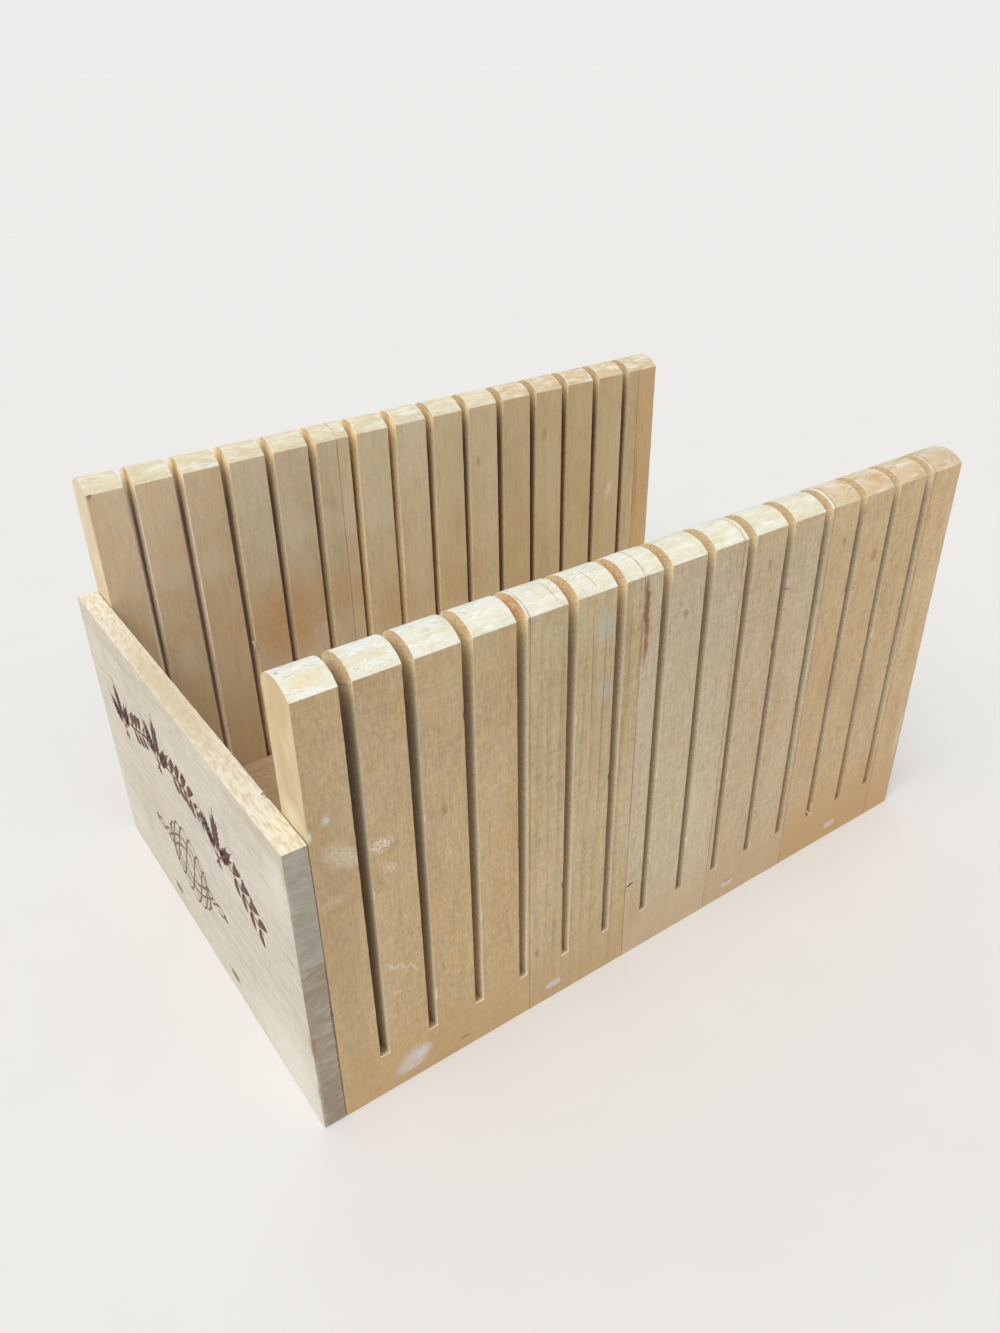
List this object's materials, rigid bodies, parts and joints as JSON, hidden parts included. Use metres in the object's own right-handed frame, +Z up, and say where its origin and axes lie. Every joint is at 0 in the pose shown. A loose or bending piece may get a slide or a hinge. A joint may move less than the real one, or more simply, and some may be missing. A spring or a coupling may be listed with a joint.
{
  "type": "bread slicer guide",
  "caption": "Open wooden trough for slicing a loaf: two tall slotted side walls with crowned tops, a solid floor and a low front board across one end.",
  "frame": {"origin": "on the bench, under the centre of the object's bounding box", "axes": "+X along the trough to its open end, +Y across it from the near wall to the far wall, +Z up"},
  "size_m": [0.3138, 0.2048, 0.182],
  "materials": {
    "wall_warm": "bare honey-tan hardwood, rubbed with oil and handling",
    "wall_pale": "bare pale pinkish-tan hardwood, lightly oiled",
    "wall_grained": "bare tan hardwood with dark grain lines",
    "floor_board": "bare tan hardwood, crumb-worn",
    "front_board": "bare greyish-cream hardwood with a brown printed ornament",
    "ornament_print": "matte reddish-brown print soaked into the wood",
    "staple_wire": "galvanised wire",
    "pale_filler": "dry pale putty",
    "dark_filler": "dry grey-brown putty"
  },
  "bodies": {
    "root": {"near_wall_stave_1": "wall_warm", "near_wall_stave_2": "wall_grained", "near_wall_stave_3": "wall_pale", "near_wall_stave_4": "wall_pale", "near_wall_stave_5": "wall_warm", "near_wall_stave_6": "wall_warm", "far_wall_stave_1": "wall_pale", "far_wall_stave_2": "wall_grained", "far_wall_stave_3": "wall_grained", "far_wall_stave_4": "wall_pale", "far_wall_stave_5": "wall_warm", "far_wall_stave_6": "wall_warm", "far_wall_stave_7": "wall_warm", "floor_stave_1": "floor_board", "floor_stave_2": "floor_board", "floor_stave_3": "floor_board", "floor_stave_4": "floor_board", "front_board_lower": "front_board", "front_board_upper": "front_board", "near_wall_staples": "staple_wire", "far_wall_staples": "staple_wire", "front_board_staples": "staple_wire", "near_wall_filler": "pale_filler", "far_wall_filler": "pale_filler", "front_board_filler": "dark_filler"}
  },
  "joints": []
}
